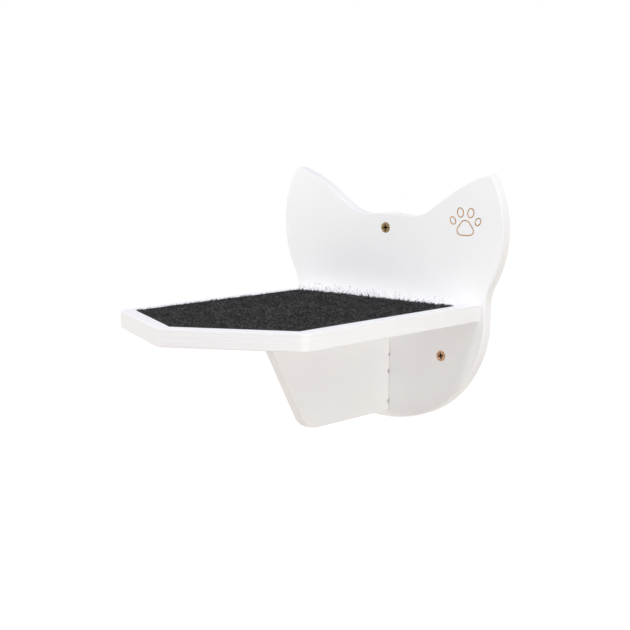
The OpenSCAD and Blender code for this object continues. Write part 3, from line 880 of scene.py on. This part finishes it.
panel_board.data.materials.append(white_paint("white_lacquer_on_ply_panel", "y"))
tray.data.materials.append(white_paint("white_lacquer_on_ply_tray", "z"))
bracket.data.materials.append(white_paint("white_lacquer_on_ply_bracket", "x"))
print("painted", [o.name for o in (panel_board, tray, bracket)])

# %% [markdown]
# ## Needled felt
# The felt is dyed polyester fibre, needle-punched. It hardly shines, its colour is a mottle of
# darker and lighter fibres, and at a low angle the fuzz catches light, which is what sheen does.

# %% Felt


def charcoal_felt(name, dark, light, per_fibre=False):
    """Charcoal felt: a mottle of two greys by noise at 1.8 mm and 12 mm, or one grey per fibre."""
    material, tree, shader, position = start_material(name)
    shader.inputs["Roughness"].default_value = 0.95
    shader.inputs["Specular IOR Level"].default_value = 0.2
    shader.inputs["Sheen Weight"].default_value = 0.03
    shader.inputs["Sheen Roughness"].default_value = 0.5
    if per_fibre:
        value = add_node(tree, "Attribute", {"attribute_name": "tone"}).outputs["Fac"]
        grey = ramp(tree, value, 0.2, 1.0, linear(dark), linear(light))
        tree.links.new(grey, shader.inputs["Base Color"])
        return material
    fine = add_node(tree, "TexNoise", {"Scale": per_mm(1.8), "Detail": 4.0, "Roughness": 0.6},
                    {"Vector": position})
    broad = add_node(tree, "TexNoise", {"Scale": per_mm(12), "Detail": 2.0}, {"Vector": position})
    mixed = add_node(tree, "Math", {"operation": "MULTIPLY_ADD", 1: 0.25},
                     {0: broad.outputs["Fac"], 2: fine.outputs["Fac"]}).outputs[0]
    grey = ramp(tree, mixed, 0.48, 0.78, linear(dark), linear(light))
    tree.links.new(grey, shader.inputs["Base Color"])
    bump = add_node(tree, "Bump", {"Strength": 0.8, "Distance": 0.4 * MM},
                    {"Height": fine.outputs["Fac"]})
    tree.links.new(bump.outputs["Normal"], shader.inputs["Normal"])
    return material


felt.data.materials.append(charcoal_felt("needled_felt", "#161415", "#3B3839"))
fibre_grey = charcoal_felt("loose_felt_fibre", "#161415", "#474345", per_fibre=True)
for piece in fuzz:
    piece.data.materials.append(fibre_grey)

# %% [markdown]
# ## Screws and dowels
# The wall screws are steel with a yellow passivated zinc coat, which varies from olive to copper
# from screw to screw. The hidden ones are bright zinc. The dowels are plain turned beech.

# %% Metals and beech


def plated(name, dark, light, roughness):
    """Plated steel: fully metallic, its colour clouded by noise at 2 mm, satin from tumbling. The
    driver's pit is painted near black: painted shade deep in the recess."""
    material, tree, shader, position = start_material(name)
    shader.inputs["Metallic"].default_value = 1.0
    shader.inputs["Roughness"].default_value = roughness
    cloud = add_node(tree, "TexNoise", {"Scale": per_mm(2.0), "Detail": 3.0}, {"Vector": position})
    metal = ramp(tree, cloud.outputs["Fac"], 0.35, 0.65, linear(dark), linear(light))
    mark = add_node(tree, "Attribute", {"attribute_name": "sawn"}).outputs["Fac"]
    # The driver's pit is painted near black as painted shade of the deep recess.
    pit_shade = add_node(tree, "Math", {"operation": "GREATER_THAN", 1: PAINTED_SHADE - 0.1}, {0: mark}).outputs[0]
    colour = add_node(tree, "Mix", {"data_type": "RGBA", 7: linear("#1A140C")},
                      {0: pit_shade, 6: metal}).outputs[2]
    tree.links.new(colour, shader.inputs["Base Color"])
    bump = add_node(tree, "Bump", {"Strength": 0.3, "Distance": 0.05 * MM},
                    {"Height": cloud.outputs["Fac"]})
    tree.links.new(bump.outputs["Normal"], shader.inputs["Normal"])
    return material


olive = plated("yellow_zinc_olive", "#584A2E", "#816F52", 0.38)
copper = plated("yellow_zinc_copper", "#B68C6D", "#D4B193", 0.36)
bright = plated("bright_zinc", "#A9A8A2", "#C4C2BC", 0.3)
for screw in brass_screws:
    screw.data.materials.append(olive if "top" in screw.name else copper)
for screw in zinc_screws:
    screw.data.materials.append(bright)

beech, tree, shader, position = start_material("turned_beech")
shader.inputs["Roughness"].default_value = 0.6
grain_scale = [per_mm(0.8), per_mm(9), per_mm(0.8)]
grain = add_node(tree, "Mapping", {"Scale": grain_scale}, {"Vector": position}).outputs[0]
fleck = add_node(tree, "TexNoise", {"Scale": 1.0, "Detail": 3.0}, {"Vector": grain})
tree.links.new(ramp(tree, fleck.outputs["Fac"], 0.3, 0.7, linear("#B98A5E"), linear("#DDB98C")),
               shader.inputs["Base Color"])
for peg in dowels:
    peg.data.materials.append(beech)
print("materials:", sorted(m.name for m in bpy.data.materials))

# %% [markdown]
# ## Floor and light
# The photograph has a plain white ground. The floor lies a metre below the step, pale and a
# little warm, so that it sends warm light up to the underside. The world is white to the camera,
# and lights the step softly from all sides. A small lamp high on the right gives the tray's
# shadow on the panel its edge. Four large ones fill: on the right, in front, on the left and low
# on the right. Two more behind the step light the panel's back and the edges of its ears.

# %% Floor, world and lamps
FLOOR_Z, FLOOR_HALF, FLOOR_GLOW = -1.0, 12.0, 0.75
WORLD_LIGHT = 0.412
LAMP_FAR, LAMP_AIM = 2.4, (0.0, -0.15, 0.0)  # metres
LAMPS = (  # name, azimuth and height in degrees, width in metres, watts, colour
    ("lamp_high_right", 50, 63, 0.4, 19.5, "#ECF0FF"),
    ("lamp_right", 60, 35, 1.0, 7.6, "#F3FFE9"),
    ("lamp_front", -30, 30, 1.0, 7.8, "#FFF8FE"),
    ("lamp_left", -55, 6, 1.0, 19.2, "#F9FFF3"),
    ("lamp_low_right", 70, -15, 1.0, 18.8, "#FCFFF8"),
    ("lamp_back_low", 180, -5, 1.0, 8.0, "#F6FFF2"),
    ("lamp_back_high", 150, 40, 1.6, 7.0, "#FFFFF6"))


def looked_at(tree):
    """1 where the camera, a mirror or clear glass looks, and 0 where light is only gathered: the
    largest of three flags of the ray."""
    ray = add_node(tree, "LightPath")
    seen = ray.outputs["Is Camera Ray"]
    for flag in ("Is Glossy Ray", "Is Transmission Ray"):
        links = {0: seen, 1: ray.outputs[flag]}
        seen = add_node(tree, "Math", {"operation": "MAXIMUM"}, links).outputs[0]
    return seen


def studio_lamp(name, azimuth, height, wide, watts, colour):
    """A round lamp turned to the step: its place is the aim plus its distance times
    (cos h sin a, -cos h cos a, sin h), with a the azimuth and h the height."""
    light = bpy.data.lights.new(name, "AREA")
    light.shape, light.size, light.energy, light.color = "DISK", wide, watts, linear(colour)[:3]
    lamp = add_object(name, light)
    a, h = math.radians(azimuth), math.radians(height)
    away = Vector((math.cos(h) * math.sin(a), -math.cos(h) * math.cos(a), math.sin(h)))
    turned = away.to_track_quat("Z", "Y").to_matrix().to_4x4()
    lamp.matrix_world = Matrix.Translation(Vector(LAMP_AIM) + LAMP_FAR * away) @ turned
    return lamp


square = [(x * FLOOR_HALF, y * FLOOR_HALF, FLOOR_Z)
          for x, y in ((-1, -1), (1, -1), (1, 1), (-1, 1))]
floor_mesh = bpy.data.meshes.new("studio_floor")
floor_mesh.from_pydata(square, [], [(0, 1, 2, 3)])
floor = add_object("studio_floor", floor_mesh)
floor_white, tree, shader, position = start_material("pale_studio_floor")
shader.inputs["Roughness"].default_value = 0.9
speck = add_node(tree, "TexNoise", {"Scale": per_mm(400), "Detail": 1.0}, {"Vector": position})
tree.links.new(ramp(tree, speck.outputs["Fac"], 0.3, 0.7, linear("#D5CCC4"), linear("#D7CEC6")),
               shader.inputs["Base Color"])
tree.links.new(looked_at(tree), shader.inputs["Emission Strength"])
shader.inputs["Emission Color"].default_value = (FLOOR_GLOW, FLOOR_GLOW, FLOOR_GLOW, 1.0)
floor.data.materials.append(floor_white)

world = bpy.data.worlds.new("soft_studio")
bpy.context.scene.world = world
world.use_nodes = True
tree = world.node_tree
tree.nodes.clear()
soft = add_node(tree, "Background", {"Color": linear("#FAF3FF"), "Strength": WORLD_LIGHT})
plain = add_node(tree, "Background", {"Color": linear("#FFFFFF"), "Strength": 1.0})
both = add_node(tree, "MixShader", {},
                {0: looked_at(tree), 1: soft.outputs[0], 2: plain.outputs[0]})
add_node(tree, "OutputWorld", {}, {"Surface": both.outputs[0]})

lamps = [studio_lamp(*row) for row in LAMPS]
bpy.context.scene.view_settings.view_transform = "Standard"
print("world", WORLD_LIGHT, "lamps", [(lamp.name, lamp.data.energy) for lamp in lamps])
